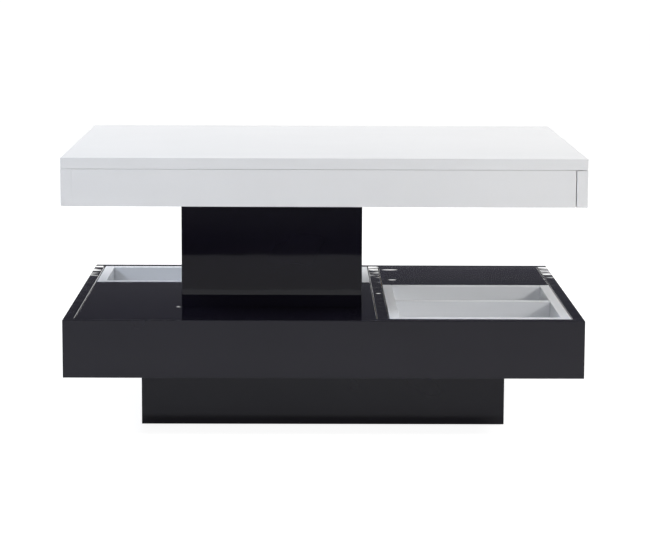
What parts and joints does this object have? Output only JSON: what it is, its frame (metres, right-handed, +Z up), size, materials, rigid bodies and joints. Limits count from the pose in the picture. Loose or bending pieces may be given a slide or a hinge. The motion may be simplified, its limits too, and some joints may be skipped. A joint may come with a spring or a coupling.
{
  "type": "swivel coffee table",
  "caption": "Low rectangular coffee table: gloss base with open lift-out trays, a hollow box column and a box-section top that turns on it over a recessed plinth.",
  "frame": {"origin": "on the floor, under the middle of the table's outline", "axes": "+X to the right along the length, +Y to the back, +Z up"},
  "size_m": [0.8, 0.6, 0.436],
  "materials": {
    "black_gloss": "high-gloss black lacquered MDF",
    "white_gloss": "gloss white lacquered MDF",
    "pale_grey": "satin light grey lacquered MDF",
    "carcass_board": "raw particle board",
    "beech": "raw beech tongue",
    "zinc_steel": "zinc-plated steel",
    "bearing_steel": "polished bearing steel",
    "nylon": "natural nylon",
    "felt": "black felt pad"
  },
  "bodies": {
    "base": {"plinth_front": "black_gloss", "plinth_back": "black_gloss", "plinth_left": "black_gloss", "plinth_right": "black_gloss", "base_front": "black_gloss", "base_back": "black_gloss", "base_left": "black_gloss", "base_right": "black_gloss", "bay_divider": "black_gloss", "front_left_deck": "black_gloss", "rear_right_deck": "black_gloss", "column_front": "black_gloss", "column_back": "black_gloss", "column_left": "black_gloss", "column_right": "black_gloss", "plinth_cross_rail": "carcass_board", "plinth_corner_blocks": "carcass_board", "base_bottom": "carcass_board", "left_deck_rail": "carcass_board", "right_deck_rail": "carcass_board", "column_bearers": "carcass_board", "left_deck_cleats": "carcass_board", "right_deck_cleats": "carcass_board", "column_foot": "carcass_board", "column_head": "carcass_board", "plinth_tongues": "beech", "base_tongues": "beech", "column_tongues": "beech", "column_bolts": "zinc_steel", "swivel_lower_plate": "zinc_steel", "swivel_lower_screws": "zinc_steel", "floor_pads": "felt"},
    "roller_ring": {"roller_cage": "nylon", "rollers": "bearing_steel"},
    "top": {"swivel_upper_plate": "zinc_steel", "swivel_pivot": "zinc_steel", "swivel_upper_screws": "zinc_steel", "top_slab": "white_gloss", "top_left_panel": "white_gloss", "top_right_panel": "white_gloss", "top_front_apron": "white_gloss", "top_back_apron": "white_gloss", "top_ribs": "carcass_board", "top_underside": "carcass_board", "top_tongues": "beech"},
    "left_tray": {"left_tray_front": "pale_grey", "left_tray_back": "pale_grey", "left_tray_left": "pale_grey", "left_tray_right": "pale_grey", "left_tray_bottom": "pale_grey"},
    "right_tray": {"right_tray_front": "pale_grey", "right_tray_back": "pale_grey", "right_tray_left": "pale_grey", "right_tray_right": "pale_grey", "right_tray_bottom": "pale_grey", "right_tray_divider": "pale_grey"}
  },
  "joints": [
    {"name": "top_swivel", "type": "hinge", "parent": "base", "child": "top", "pos_m": [-0.0815, -0.05025, 0.357], "axis": [0, 0, 1], "continuous": true},
    {"name": "roller_ring_turn", "type": "hinge", "parent": "base", "child": "roller_ring", "pos_m": [-0.0815, -0.05025, 0.357], "axis": [0, 0, 1], "continuous": true},
    {"name": "left_tray_lift", "type": "slide", "parent": "base", "child": "left_tray", "axis": [0, 0, 1], "range_m": [0, 0.08]},
    {"name": "right_tray_lift", "type": "slide", "parent": "base", "child": "right_tray", "axis": [0, 0, 1], "range_m": [0, 0.08]}
  ],
  "couplings": [
    {"joint": "roller_ring_turn", "follows": "top_swivel", "ratio": 0.5}
  ]
}
